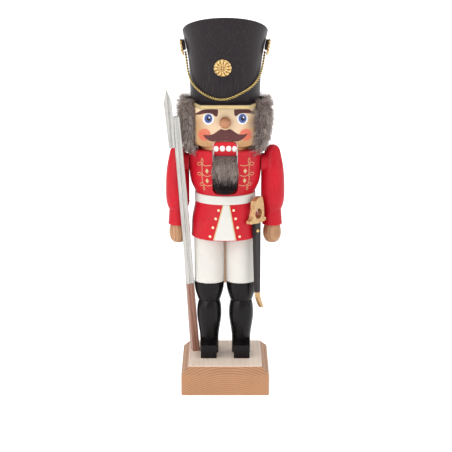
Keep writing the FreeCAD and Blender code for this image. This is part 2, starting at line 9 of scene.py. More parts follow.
import bmesh
import bpy
import numpy as np
from mathutils import Matrix, Vector
from mathutils.bvhtree import BVHTree


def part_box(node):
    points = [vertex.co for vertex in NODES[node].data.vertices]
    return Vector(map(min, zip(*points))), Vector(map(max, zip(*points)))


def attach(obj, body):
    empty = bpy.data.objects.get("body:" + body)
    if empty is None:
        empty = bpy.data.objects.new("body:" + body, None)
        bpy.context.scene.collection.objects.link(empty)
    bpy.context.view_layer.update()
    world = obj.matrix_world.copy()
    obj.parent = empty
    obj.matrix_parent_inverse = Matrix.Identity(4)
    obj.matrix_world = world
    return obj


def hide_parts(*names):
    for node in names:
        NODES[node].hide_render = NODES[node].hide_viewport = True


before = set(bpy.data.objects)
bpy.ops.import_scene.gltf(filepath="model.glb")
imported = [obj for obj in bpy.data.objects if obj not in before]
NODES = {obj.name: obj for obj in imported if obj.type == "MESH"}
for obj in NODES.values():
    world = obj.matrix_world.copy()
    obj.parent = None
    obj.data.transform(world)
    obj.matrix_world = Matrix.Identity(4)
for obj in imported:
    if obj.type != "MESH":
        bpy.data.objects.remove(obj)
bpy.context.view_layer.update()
MM = 0.001

# Camera, with its downward pitch in radians
CAMERA_PLACE = (0.00088, -1.7482, 0.5554)
CAMERA_PITCH = 0.216
CAMERA_LENS = 131.45
CAMERA_SENSOR = 36

# Paint lies this proud of the wood, and is closed this far under its surface
PAINT = 0.14 * MM
SUNK = 0.2 * MM

# Hat cord: the route of its centre, as the frame's tube has it, and the length of one full twist
CORD_ROUTE = [
    (-0.0421, -0.0010, 0.3616), (-0.04096, -0.00272, 0.3534), (-0.03987, -0.00589, 0.3452),
    (-0.03816, -0.0113, 0.3372), (-0.03473, -0.01882, 0.3302), (-0.02853, -0.02698, 0.3241),
    (-0.02031, -0.03341, 0.3191), (-0.01115, -0.03732, 0.3157), (-0.00173, -0.03886, 0.3149),
    (0.00787, -0.03823, 0.3171), (0.01709, -0.03526, 0.3213), (0.02543, -0.02996, 0.3254),
    (0.03194, -0.02324, 0.3302), (0.03667, -0.01547, 0.3367), (0.03944, -0.0082, 0.3448),
    (0.04086, -0.00333, 0.3532), (0.0421, -0.0010, 0.3616),
]
CORD_DIAMETER = 0.0027
CORD_TWIST = 0.0062

# Brass flower buttons: the middle of the back and the way that the flower faces; radius in millimetres
SIDE_TILT = math.radians(10)
ROSETTES = {
    "rosette_front": ((-0.0026, -0.0390, 0.3482), (-0.067, -0.995, -0.075)),
    "rosette_right": ((-0.0448, 0, 0.3660), (-math.cos(SIDE_TILT), 0, -math.sin(SIDE_TILT))),
    "rosette_left": ((0.0448, 0, 0.3660), (math.cos(SIDE_TILT), 0, -math.sin(SIDE_TILT))),
}
FLOWER_RADIUS = 9.5
PETALS = 12

# Pads behind the side buttons, in millimetres; each is cut off level at its foot
PAD_RADIUS = 8.0
PAD_DEEP = 2.8
PAD_FOOT_Z = 363.3

# Painted face, in millimetres: middle and half sizes of the pale part, cheeks, and foot of the skin
FACE_MIDDLE_Z = 288.0
FACE_HALF_WIDE = 30.0
FACE_HALF_HIGH = 27.0
CHEEK_X = 21.8
CHEEK_Z = 276.0
CHIN_Z = 262.9

# Painted mouth on the lever, in millimetres: its front, foot and side edges, and the teeth's foot
LEVER_FRONT_Y = -18.4
MOUTH_FOOT_Z = 250.5
MOUTH_HALF_WIDE = 11.6
TEETH_FOOT_Z = 258.75

# Upper side of the base block, in millimetres
BLOCK_TOP_Z = 30.0


# ---------------------------------------------------------------- materials

# Colours are written as screen values, red, green and blue from 0 to 255

def linear(colour, by=1.0):
    """A colour as Blender wants it, made lighter (by above 1) or darker (by below 1)."""
    values = [c / 255 for c in colour]
    values = [c / 12.92 if c <= 0.04045 else ((c + 0.055) / 1.055) ** 2.4 for c in values]
    return tuple(min(c * by, 1) for c in values) + (1,)


class Nodes:
    """Adds nodes to one node tree."""

    def __init__(self, tree):
        self.tree = tree

    def add(self, kind, **settings):
        node = self.tree.nodes.new("ShaderNode" + kind)
        for key, value in settings.items():
            setattr(node, key, value)
        return node

    def join(self, socket, value):
        """Feeds a socket from another node's output, or sets it to a plain value or colour."""
        if isinstance(value, bpy.types.NodeSocket):
            self.tree.links.new(value, socket)
        elif socket.type == "RGBA" and len(value) == 3:
            socket.default_value = linear(value)
        else:
            socket.default_value = value

    def fed(self, node, *values):
        """The node's outputs, with its first inputs fed from the values."""
        for socket, value in zip(node.inputs, values):
            self.join(socket, value)
        return node.outputs

    def maths(self, operation, first, second=0.0):
        return self.fed(self.add("Math", operation=operation), first, second)[0]

    def times(self, first, second):
        return self.maths("MULTIPLY", first, second)

    def squares(self, first, second):
        """The sum of the squares of two values."""
        return self.maths("ADD", self.times(first, first), self.times(second, second))

    def vector(self, operation, first, second):
        return self.fed(self.add("VectorMath", operation=operation), first, second)

    def between(self, value, low, high, to_low=0.0, to_high=1.0):
        """Maps a value from one range to another, held inside it, with soft ends."""
        node = self.add("MapRange", interpolation_type="SMOOTHSTEP")
        return self.fed(node, value, low, high, to_low, to_high)[0]

    def step(self, value, edge, soft, below=0.0, above=1.0):
        """One number below an edge and another above it, soft on both sides."""
        return self.between(value, edge - soft, edge + soft, below, above)


class Finish(Nodes):
    """A material whose patterns are measured in millimetres of the frame."""

    def __init__(self, name, roughness=0.5, metallic=0.0, specular=0.5):
        self.material = bpy.data.materials.new(name)
        self.material.use_nodes = True
        super().__init__(self.material.node_tree)
        self.shader = self.tree.nodes["Principled BSDF"]
        self.set("Roughness", roughness)
        self.set("Metallic", metallic)
        self.set("Specular IOR Level", specular)
        place = self.add("TexCoord").outputs["Object"]
        self.place = self.stretched(1 / MM, 1 / MM, 1 / MM, place)
        self.x, self.y, self.z = self.fed(self.add("SeparateXYZ"), self.place)

    def set(self, name, value):
        self.join(self.shader.inputs[name], value)

    def stretched(self, x, y, z, place=None):
        """The place with each of its three numbers multiplied."""
        return self.vector("MULTIPLY", self.place if place is None else place, (x, y, z))[0]

    def along(self, direction):
        """The place turned so that a direction of the frame becomes the pattern's Z."""
        turn = Vector(direction).rotation_difference(Vector((0, 0, 1))).to_euler()
        node = self.add("Mapping", vector_type="POINT")
        return self.fed(node, self.place, (0, 0, 0), tuple(turn))[0]

    def noise(self, scale, detail=2.0, stretch=(1, 1, 1), place=None, roughness=0.55):
        place = self.stretched(*stretch, place=place)
        return self.fed(self.add("TexNoise"), place, 0.0, scale, detail, roughness)["Fac"]

    def base_colour(self):
        """The output that feeds the base colour so far."""
        return self.shader.inputs["Base Color"].links[0].from_socket

    def mix(self, share, first, second):
        """From the first colour at a share of 0 to the second at 1."""
        node = self.add("Mix", data_type="RGBA")
        for socket, value in zip((node.inputs[0], *node.inputs[6:8]), (share, first, second)):
            self.join(socket, value)
        return node.outputs[2]

    def tint(self, first, second, value, low, high, to_low=0.0, to_high=1.0):
        """The first colour turning into the second as a value goes from low to high."""
        return self.mix(self.between(value, low, high, to_low, to_high), first, second)

    def edges(self, reach=0.8):
        """Near 1 along outer edges and 0 elsewhere: where handling wears the paint, and where the silver's
        painted edge shade lies.
        """
        rounded = self.fed(self.add("Bevel", samples=4), reach * MM)[0]
        plain = self.add("NewGeometry").outputs["Normal"]
        product = self.vector("DOT_PRODUCT", rounded, plain)["Value"]
        return self.between(product, 0.86, 0.99, 1.0, 0.0)

    def bump(self, height, depth, strength=1.0):
        """Relief from a 0-1 height, so many millimetres deep."""
        node = self.add("Bump")
        self.join(node.inputs["Strength"], strength)
        self.join(node.inputs["Distance"], depth * MM)
        self.join(node.inputs["Height"], height)
        if self.shader.inputs["Normal"].is_linked:
            self.join(node.inputs["Normal"], self.shader.inputs["Normal"].links[0].from_socket)
        self.set("Normal", node.outputs[0])


def painted(name, colour, worn, roughness=0.4, grain=0.5, wear=0.6, shine=0.28, patchy=1.0):
    """Satin paint on turned wood: faint grain and tool marks show, and edges are rubbed."""
    finish = Finish(name, specular=shine)
    cloud = finish.noise(0.06, 3)
    fibres = finish.noise(1.6, 4, stretch=(1, 1, 0.03))
    rings = finish.noise(2.2, 3, stretch=(0.02, 0.02, 1))
    low, high = linear(colour, 1 - 0.07 * patchy), linear(colour, 1 + 0.06 * patchy)
    base = finish.tint(low, high, cloud, 0.3, 0.7)
    streak = finish.times(finish.between(fibres, 0.5, 0.75), 0.3 * grain)
    base = finish.mix(streak, base, linear(worn, 0.95))
    speckle = finish.between(finish.noise(1.1, 4), 0.42, 0.62)
    rubbed = finish.times(finish.edges(), finish.times(speckle, wear))
    finish.set("Base Color", finish.mix(rubbed, base, worn))
    finish.set("Roughness", finish.between(cloud, 0.3, 0.7, roughness - 0.05, roughness + 0.07))
    finish.bump(fibres, 0.05 * grain, 0.6)
    finish.bump(rings, 0.03 * grain, 0.5)
    return finish


def timber(name, light, dark, heart, axis, spacing, roughness=0.45, fleck=0.5, wave=5.0, direction=None):
    """Bare wood: year rings round a heart line, fibres, and the short flecks of beech."""
    finish = Finish(name, specular=0.35)
    along = {"X": (0.04, 1, 1), "Y": (1, 0.04, 1), "Z": (1, 1, 0.04)}[axis]
    place = finish.along(direction) if direction else finish.vector("SUBTRACT", finish.place, heart)[0]
    rings = finish.add("TexWave", wave_type="RINGS", rings_direction=axis, wave_profile="SAW")
    finish.join(rings.inputs["Vector"], finish.stretched(*[max(s, 0.15) for s in along], place=place))
    finish.join(rings.inputs["Scale"], 0.314 / spacing)
    finish.join(rings.inputs["Distortion"], wave)
    finish.join(rings.inputs["Detail"], 2.0)
    finish.join(rings.inputs["Detail Scale"], 0.35)
    late = finish.between(rings.outputs["Fac"], 0.35, 1.0)
    cloud = finish.noise(0.045, 2, stretch=along)
    fibres = finish.noise(1.9, 4, stretch=along, place=place)
    pores = finish.noise(2.6, 3, stretch=tuple(max(s, 0.22) for s in along), place=place)
    tone = finish.tint(linear(light, 0.95), linear(light, 1.05), cloud, 0.3, 0.7)
    tone = finish.mix(finish.times(late, 0.75), tone, dark)
    tone = finish.tint(tone, linear(dark, 0.9), fibres, 0.45, 0.8, 0.0, 0.35)
    tone = finish.tint(tone, linear(dark, 0.72), pores, 0.6, 0.72, 0.0, fleck)
    edge = finish.times(finish.edges(0.6), 0.35)
    finish.set("Base Color", finish.mix(edge, tone, linear(light, 1.12)))
    finish.set("Roughness", finish.between(fibres, 0.3, 0.7, roughness - 0.05, roughness + 0.1))
    finish.bump(fibres, 0.06, 0.5)
    finish.bump(late, 0.04, 0.4)
    return finish


def metal(name, colour, dark, roughness=0.35, metallic=0.9, mottle=0.3, direction=None, streak=0.35,
          rim=0.0, deep=0.8):
    """Metallic paint or brass, brushed; recesses darker (patina on brass, painted shade elsewhere), and
    edges darker by rim as painted shade.
    """
    finish = Finish(name, metallic=metallic)
    place = finish.along(direction) if direction else None
    brushed = finish.noise(1.5, 4, stretch=(1, 1, 0.03), place=place)
    spots = finish.noise(0.9, 4)
    # Darker in recesses: on the brass this is patina; on the painted metals and between the cord's strands
    # it is painted shade
    recess = finish.add("AmbientOcclusion", samples=6)
    finish.join(recess.inputs["Distance"], 1.6 * MM)
    patina_and_shade = finish.between(recess.outputs["AO"], 0.25, deep, 1.0, 0.0)
    tone = finish.tint(colour, dark, spots, 0.4, 0.7, 0.0, mottle)
    tone = finish.tint(tone, linear(colour, 0.6), brushed, 0.42, 0.62, 0.0, streak)
    # Painted shade: with rim above 0 the outer edges darken, for the shaded sides of the silver barrel and
    # bayonet
    if rim:
        tone = finish.mix(finish.times(finish.edges(1.1), rim), tone, dark)
    finish.set("Base Color", finish.mix(finish.times(patina_and_shade, 0.85), tone, dark))
    finish.set("Roughness", finish.between(brushed, 0.3, 0.7, roughness - 0.06, roughness + 0.1))
    finish.bump(brushed, 0.03, 0.5)
    return finish


RED = (190, 17, 36)
RED_WORN = (232, 112, 108)
WHITE = (214, 212, 205)
BEECH_LIGHT = (216, 172, 134)
BEECH_DARK = (183, 130, 92)
BRUSH_BROWN = (92, 50, 50)
RIFLE_LEAN = (-0.0732, -0.112, 1)

red_paint = painted("red_paint", RED, RED_WORN, grain=0.4, wear=0.5, shine=0.22)
white_paint = painted("white_paint", WHITE, (214, 202, 184), grain=0.12, wear=0.25, patchy=0.4)
black_paint = painted("black_paint", (14, 11, 13), (86, 74, 68),
                      roughness=0.26, grain=0.35, wear=0.3, shine=0.2)
hat_paint = painted("hat_paint", (33, 27, 31), (96, 84, 82),
                    roughness=0.38, grain=0.9, wear=0.35, shine=0.2)
scabbard_paint = painted("scabbard_paint", (36, 29, 31), (110, 92, 80), roughness=0.42, wear=0.4)
beech_block = timber("beech_block", (180, 134, 98), (144, 96, 62), (4, 0, -70), "Y", 2.3,
                     roughness=0.38, wave=2.0)
hand_wood = timber("hand_wood", (182, 138, 102), (156, 110, 78), (30, 24, 0), "Z", 3.0, roughness=0.36)
lever_wood = timber("lever_wood", BEECH_LIGHT, BEECH_DARK, (60, 30, 0), "Z", 5.0)
dowel_wood = timber("dowel_wood", BEECH_LIGHT, BEECH_DARK, (20, 15, 0), "Z", 3.0)
nose_wood = timber("nose_wood", (194, 138, 102), (150, 96, 66), (-6, 0, 296), "Y", 2.4, roughness=0.35)
walnut = timber("walnut", (158, 114, 96), (112, 74, 60), (0, 0, 0), "Z", 3.4,
                fleck=0.7, wave=8.0, direction=RIFLE_LEAN)
# rim 0.75 paints shade along the silver's outer edges
silver_paint = metal("silver_paint", (204, 202, 197), (92, 91, 91), roughness=0.34,
                     metallic=0.6, mottle=0.2, direction=RIFLE_LEAN, streak=0.5, rim=0.75)
gold_paint = metal("gold_paint", (222, 184, 132), (122, 84, 52), roughness=0.36, metallic=0.6, mottle=0.85)
brass = metal("brass", (226, 190, 130), (60, 34, 14), roughness=0.2, metallic=1.0, mottle=0.1, deep=0.97)
# A dark brown pad fills the band between each side flower and the hat
dark_pad = painted("dark_pad", (40, 27, 20), (88, 64, 46), roughness=0.6, wear=0.3)
pin_steel = metal("pin_steel", (190, 190, 192), (90, 90, 92), roughness=0.3, metallic=1.0)
trim_gold = metal("trim_gold", (212, 187, 136), (172, 144, 94),
                  roughness=0.42, metallic=0.25, mottle=0.25)
dot_gold = metal("dot_gold", (248, 232, 190), (214, 186, 130), metallic=0.1, mottle=0.2)
# Recesses fully darkened (deep 1.0): painted shade in the grooves between the cord's strands
gold_thread = metal("gold_thread", (236, 208, 132), (84, 60, 20),
                    roughness=0.38, metallic=0.6, deep=1.0)
# Painted shade: the dark core shows in the grooves between the cord's strands
cord_groove_shade = metal("cord_groove_shade", (84, 60, 24), (48, 32, 12), roughness=0.6, metallic=0.2)


def painted_sheen_top():
    """The block's upper side is paler than its front: painted sheen, standing in for the white studio
    reflected at a grazing angle.
    """
    finish = beech_block
    colour = finish.base_colour()
    lines = finish.noise(0.8, 3, stretch=(1, 0.03, 1))
    sheen_streaks = finish.between(lines, 0.3, 0.75, 0.95, 0.7)
    share = finish.times(finish.step(finish.z, BLOCK_TOP_Z, 0.4), sheen_streaks)
    # Painted sheen: the top is mixed in streaks towards a pale cream
    finish.set("Base Color", finish.mix(share, colour, (246, 230, 214)))


def face_paint():
    """Pale skin, warmer towards the sides and lighter above as painted light against the visor's shadow,
    with sponged cheeks and a stained neck.
    """
    finish = Finish("face_paint", specular=0.35)
    wide = finish.maths("DIVIDE", finish.x, FACE_HALF_WIDE)
    high = finish.maths("DIVIDE", finish.maths("SUBTRACT", finish.z, FACE_MIDDLE_Z), FACE_HALF_HIGH)
    out = finish.squares(wide, high)
    skin = finish.tint((232, 202, 168), (188, 144, 98), out, 0.15, 1.0)
    fibres = finish.noise(1.7, 4, stretch=(1, 1, 0.04))
    skin = finish.tint(skin, (214, 180, 144), fibres, 0.45, 0.8, 0.0, 0.3)
    across = finish.maths("SUBTRACT", finish.maths("ABSOLUTE", finish.x), CHEEK_X)
    up = finish.maths("SUBTRACT", finish.z, CHEEK_Z)
    far = finish.maths("SQRT", finish.squares(across, up))
    sponge = finish.noise(1.0, 3, stretch=(1, 0.4, 1), roughness=0.7)
    dabs = finish.maths("ADD", sponge, finish.between(far, 5.6, 8.8, 0.03, -0.5))
    skin = finish.tint(skin, (216, 98, 78), dabs, 0.42, 0.5, 0.0, 0.95)
    # Painted light: the skin lightens towards the forehead, where the visor casts its shadow
    skin = finish.tint(skin, (255, 226, 184), finish.z, FACE_MIDDLE_Z, FACE_MIDDLE_Z + 15, 0.0, 0.9)
    neck = finish.step(finish.z, CHIN_Z, 0.3, 1.0, 0.0)
    finish.set("Base Color", finish.mix(neck, skin, (240, 190, 132)))
    finish.set("Roughness", finish.between(fibres, 0.3, 0.7, 0.4, 0.5))
    finish.bump(fibres, 0.05, 0.5)
    finish.bump(sponge, 0.03, 0.3)
    return finish


def brush_paint(name, colour, light, direction):
    """Thick dark paint with the strokes of the brush left in it."""
    finish = Finish(name, specular=0.3)
    place = finish.along(direction)
    strokes = finish.noise(1.3, 3, stretch=(1, 1, 0.12), place=place)
    finish.set("Base Color", finish.tint(colour, light, strokes, 0.5, 0.78, 0.0, 0.6))
    finish.set("Roughness", finish.between(strokes, 0.3, 0.7, 0.45, 0.6))
    finish.bump(strokes, 0.12, 0.8)
    return finish


def mouth_wood():
    """The lever: bare beech with a red mouth and white side edges on its front."""
    finish = lever_wood
    front = finish.step(finish.y, LEVER_FRONT_Y, 0.2, 1.0, 0.0)
    above = finish.step(finish.z, MOUTH_FOOT_Z, 0.1)
    at_side = finish.step(finish.maths("ABSOLUTE", finish.x), MOUTH_HALF_WIDE, 0.1)
    below_teeth = finish.step(finish.z, TEETH_FOOT_Z, 0.15, 1.0, 0.0)
    colour = finish.base_colour()
    mouth = finish.mix(finish.times(at_side, below_teeth), (205, 14, 34), WHITE)
    finish.set("Base Color", finish.mix(finish.times(front, above), colour, mouth))


painted_sheen_top()
face = face_paint()
mouth_wood()
hair_paint = brush_paint("hair_paint", BRUSH_BROWN, (126, 78, 76), (1, 0, 0.1))
eye_white = painted("eye_white", (240, 240, 240), WHITE, roughness=0.3, grain=0.1, wear=0.0)
eye_blue = brush_paint("eye_blue", (74, 92, 156), (108, 124, 182), (0, 0, 1))
eye_black = painted("eye_black", (38, 40, 48), (70, 74, 90), roughness=0.25, grain=0.1, wear=0.0)
tooth_white = painted("tooth_white", (246, 246, 242), WHITE, roughness=0.25, grain=0.1, wear=0.0)

NODE_FINISHES = {
    beech_block: ["base_block"],
    black_paint: ["boot_left", "boot_right", "toe_left", "toe_right"],
    white_paint: ["trouser_left", "trouser_right", "belt"],
    red_paint: ["torso", "arm_left", "arm_right"],
    face: ["head"],
    nose_wood: ["nose"],
    hat_paint: ["visor", "hat"],
    gold_thread: ["hat_cord"],
    lever_wood: ["jaw_lever"],
    pin_steel: ["pivot_pin"],
    hand_wood: ["hand_left", "hand_right"],
    silver_paint: ["rifle_barrel", "bayonet"],
    walnut: ["rifle_stock"],
    gold_paint: ["sabre_hilt", "scabbard_chape"],
    scabbard_paint: ["sabre_scabbard"],
    brass: ["scabbard_nail"],
    dowel_wood: ["rifle_peg"] + [name for name in NODES if "dowel" in name],
}
for finish, node_names in NODE_FINISHES.items():
    for node_name in node_names:
        for slot in NODES[node_name].material_slots:
            slot.material = finish.material


# ---------------------------------------------------------------- shapes

def placed(name, data):
    """A new object of the scene that holds this data."""
    holder = bpy.data.objects.new(name, data)
    bpy.context.scene.collection.objects.link(holder)
    return holder


def distances(line):
    """How far along a line each of its points lies."""
    return np.concatenate([[0], np.cumsum(np.linalg.norm(np.diff(line, axis=0), axis=1))])


def unit(vectors):
    """The vectors at length 1."""
    return vectors / np.maximum(np.linalg.norm(vectors, axis=1), 1e-9)[:, None]


def crowded(count):
    """Numbers from 0 to 1 that lie closer together towards both ends."""
    return [0.5 - 0.5 * math.cos(math.pi * i / count) for i in range(count + 1)]


class Shell:
    """Collects closed shapes that become one piece."""

    def __init__(self):
        self.points = []
        self.faces = []
        self.slots = []

    def add(self, points, faces, slot=0):
        start = len(self.points)
        self.points += [tuple(point) for point in points]
        self.faces += [tuple(start + i for i in face) for face in faces]
        self.slots += [slot] * len(faces)

    def piece(self, name, finishes, material_slot, body="figure", replaces=()):
        """Makes the piece, which rides on a body and takes the given finishes. The material_slot argument
        is not used.
        """
        mesh = bpy.data.meshes.new(name)
        mesh.from_pydata(self.points, [], self.faces)
        for finish in finishes:
            mesh.materials.append(finish.material)
        mesh.polygons.foreach_set("material_index", self.slots)
        work = bmesh.new()
        work.from_mesh(mesh)
        bmesh.ops.remove_doubles(work, verts=work.verts, dist=1e-6)
        bmesh.ops.recalc_face_normals(work, faces=work.faces)
        work.to_mesh(mesh)
        work.free()
        mesh.shade_smooth()
        piece = placed(name, mesh)
        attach(piece, body)
        if replaces:
            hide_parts(*replaces)
        return piece


class Skin:
    """Finds the front surface of some CAD nodes, to lay paint on it."""

    def __init__(self, *names):
        points = []
        faces = []
        for name in names:
            start = len(points)
            mesh = NODES[name].data
            points += [vertex.co for vertex in mesh.vertices]
            faces += [[start + i for i in face.vertices] for face in mesh.polygons]
        self.tree = BVHTree.FromPolygons(points, faces)

    def at(self, x, z):
        """The point of the surface seen from the front at x and z, and the way it faces."""
        point, normal, _, _ = self.tree.ray_cast(Vector((x * MM, -0.2, z * MM)), Vector((0, 1, 0)))
        if normal.y > 0:
            normal = -normal
        return point, normal


def smooth_line(points, step=0.8):
    """Points about a step apart on a smooth line through the given ones."""
    given = np.array(points, float)
    ends = np.vstack([2 * given[0] - given[1], given, 2 * given[-1] - given[-2]])
    found = []
    for i in range(len(given) - 1):
        a, b, c, d = ends[i:i + 4]
        pieces = max(1, math.ceil(np.linalg.norm(c - b) / step))
        for t in np.arange(pieces) / pieces:
            found.append(0.5 * (2 * b + (c - a) * t + (2 * a - 5 * b + 4 * c - d) * t ** 2
                                + (3 * b - a - 3 * c + d) * t ** 3))
    found.append(given[-1])
    return np.array(found)


def wrap_faces(rows, columns, closed):
    """Quads between neighbouring rows of a grid of points; closed joins its last column to its first."""
    return [
        (i * columns + j, i * columns + (j + 1) % columns,
         (i + 1) * columns + (j + 1) % columns, (i + 1) * columns + j)
        for i in range(rows - 1) for j in range(columns if closed else columns - 1)
    ]


def film(shell, skin, grid, heights, closed=False, slot=0):
    """A closed film of paint over a grid of (x, z) places; heights are in metres."""
    rows, columns = len(grid), len(grid[0])
    top, under = [], []
    for places, row_heights in zip(grid, heights):
        for (x, z), height in zip(places, row_heights):
            point, normal = skin.at(x, z)
            top.append(point + normal * height)
            under.append(point - normal * SUNK)
    faces = wrap_faces(rows, columns, closed)
    count = rows * columns
    end = list(range(columns)) + [0] * closed
    edges = [] if closed else [range(0, count, columns), range(columns - 1, count, columns), end]
    edges.append([count - columns + j for j in end])
    sides = []
    for edge in edges:
        sides += [(a, b, b + count, a + count) for a, b in zip(edge, edge[1:])]
    shell.add(top + under, faces + [tuple(i + count for i in face) for face in faces] + sides, slot)


def filled(shell, skin, upper, lower, height=PAINT, columns=40, rows=9):
    """Paint between an upper and a lower edge, each a line of (x, z) places from left to right."""
    left = max(upper[0][0], lower[0][0])
    right = min(upper[-1][0], lower[-1][0])
    over = smooth_line(upper, 0.4)
    below = smooth_line(lower, 0.4)
    grid, heights = [], []
    for along in crowded(columns):
        x = left + (right - left) * along
        high = np.interp(x, over[:, 0], over[:, 1])
        low = np.interp(x, below[:, 0], below[:, 1])
        grid.append([(x, low + (high - low) * share) for share in crowded(rows)])
        at_end = along in (0, 1)
        heights.append([0 if at_end or j in (0, rows) else height for j in range(rows + 1)])
    film(shell, skin, grid, heights)


def spot(shell, skin, x, z, wide, high, height=PAINT, dome=0.0, corner=2.0, slot=0, around=32):
    """A spot, round at corner 2 and squarer above it; dome lifts its middle above its rim."""
    rings = [(0.0, 1.0), (0.35, 0.93), (0.62, 0.76), (0.82, 0.48), (0.94, 0.2), (1.0, 0.0)]
    grid, heights = [], []
    for reach, crown in rings:
        row = []
        for j in range(around):
            angle = 2 * math.pi * j / around
            across, up = math.cos(angle), math.sin(angle)
            size = (abs(across) ** corner + abs(up) ** corner) ** (-1 / corner)
            row.append((x + wide / 2 * reach * size * across, z + high / 2 * reach * size * up))
        grid.append(row)
        at_rim = reach == 1.0
        heights.append([0.0 if at_rim else height + dome * crown] * around)
    film(shell, skin, grid, heights, closed=True, slot=slot)


def ribbon(shell, centres, normals, widths, height):
    """A closed strip of paint with a rounded top along 3D centres."""
    centres, normals = np.array(centres), np.array(normals)
    rows = []
    for i, (centre, normal) in enumerate(zip(centres, normals)):
        run = centres[min(i + 1, len(centres) - 1)] - centres[max(i - 1, 0)]
        side = np.cross(normal, run)
        side /= np.linalg.norm(side)
        half = widths[i] / 2
        for across, up in ((-1, 0), (-0.62, 0.75), (0, 1), (0.62, 0.75), (1, 0), (0, -0.9)):
            rows.append(centre + side * half * across + normal * height * up)
    faces = wrap_faces(len(centres), 6, closed=True)
    faces += [tuple(range(6)), tuple(len(rows) - 6 + i for i in range(6))]
    shell.add(rows, faces)


def stroke(shell, skin, points, width, height=0.16 * MM, blunt=False):
    """A brush line through (x, z) places, with rounded ends unless they are blunt."""
    line = smooth_line(points, 0.45)
    along = distances(line)
    centres, normals, widths = [], [], []
    for (x, z), distance in zip(line, along):
        point, normal = skin.at(x, z)
        centres.append(point)
        normals.append(normal)
        near = min(distance, along[-1] - distance) / (width / 2)
        widths.append(width * MM * (1 if blunt or near >= 1 else max(0.25, math.sqrt(1 - (1 - near) ** 2))))
    ribbon(shell, centres, normals, widths, height)


# ---------------------------------------------------------------- face

face_skin = Skin("head")


def brows():
    shell = Shell()
    filled(shell, face_skin,
           [(-31.9, 298.2), (-27.4, 300.8), (-23.6, 302.4), (-18, 303.0), (-10, 303.0), (-7.5, 302.6)],
           [(-31.9, 297.4), (-27.9, 297.2), (-24.8, 297.8), (-21.3, 298.6), (-16.8, 298.7), (-13.3, 297.9),
            (-11.1, 295.9), (-9.3, 295.2), (-8.2, 296.2), (-7.5, 299.8)])
    filled(shell, face_skin,
           [(9.4, 302.6), (12, 303.0), (18, 303.0), (25.0, 302.9), (27.6, 301.6), (31.4, 299.2)],
           [(9.4, 299.6), (9.9, 296.6), (10.8, 295.8), (12.6, 296.2), (14.9, 298.0), (18.6, 298.7),
            (23.1, 298.9), (27.5, 298.4), (31.4, 298.0)])
    shell.piece("brows", [hair_paint], "face_paint")


def moustache():
    shell = Shell()
    filled(shell, face_skin,
           [(-23.2, 275.9), (-20.0, 275.5), (-16.0, 275.7), (-12.4, 276.8), (-9.8, 278.5), (-7.1, 280.5),
            (-4.9, 281.8), (-2.6, 281.6), (0.4, 280.7), (2.9, 281.6), (5.0, 281.9), (7.2, 281.0),
            (8.9, 279.8), (11.6, 277.8), (14.7, 276.4), (18.7, 276.0), (21.8, 276.7), (23.4, 277.2)],
           [(-23.2, 275.6), (-21.3, 273.0), (-18.2, 270.4), (-14.7, 268.9), (-12.2, 268.6), (-9.8, 268.7),
            (-5.8, 269.1), (-2.7, 269.1), (0.2, 269.3), (2.6, 269.1), (5.4, 269.1), (8.9, 268.8),
            (12.5, 268.7), (16.0, 269.8), (19.1, 271.9), (21.8, 274.4), (23.4, 276.9)],
           height=0.35 * MM, columns=64, rows=11)
    shell.piece("moustache", [hair_paint], "face_paint")


def eyes():
    shell = Shell()
    for x, z, lean in ((-17.8, 293.1, 1), (18.3, 293.3, -1)):
        spot(shell, face_skin, x + 0.2 * lean, z - 0.2, 12.2, 12.6, 0.10 * MM, slot=0)
        spot(shell, face_skin, x, z, 8.6, 10.0, 0.20 * MM, slot=1)
        spot(shell, face_skin, x + 0.3, z - 0.1, 4.2, 5.2, 0.30 * MM, slot=2)
        spot(shell, face_skin, x + 1.0, z + 1.2, 1.7, 1.9, 0.38 * MM, slot=0, around=20)
    shell.piece("eyes", [eye_white, eye_blue, eye_black], "face_paint")


# ---------------------------------------------------------------- jaw

def teeth():
    """Four domed teeth on the front of the jaw."""
    skin = Skin("jaw_lever")
    shell = Shell()
    for x, wide, z in ((-9.6, 5.2, 261.0), (-2.9, 5.7, 261.3), (3.8, 5.6, 261.2), (10.0, 5.1, 261.0)):
        spot(shell, skin, x, z, wide, 6.2, 0.2 * MM, dome=0.7 * MM, corner=2.5)
    shell.piece("teeth", [tooth_white], "white_paint", body="lever")


# ---------------------------------------------------------------- coat

coat_skin = Skin("torso")


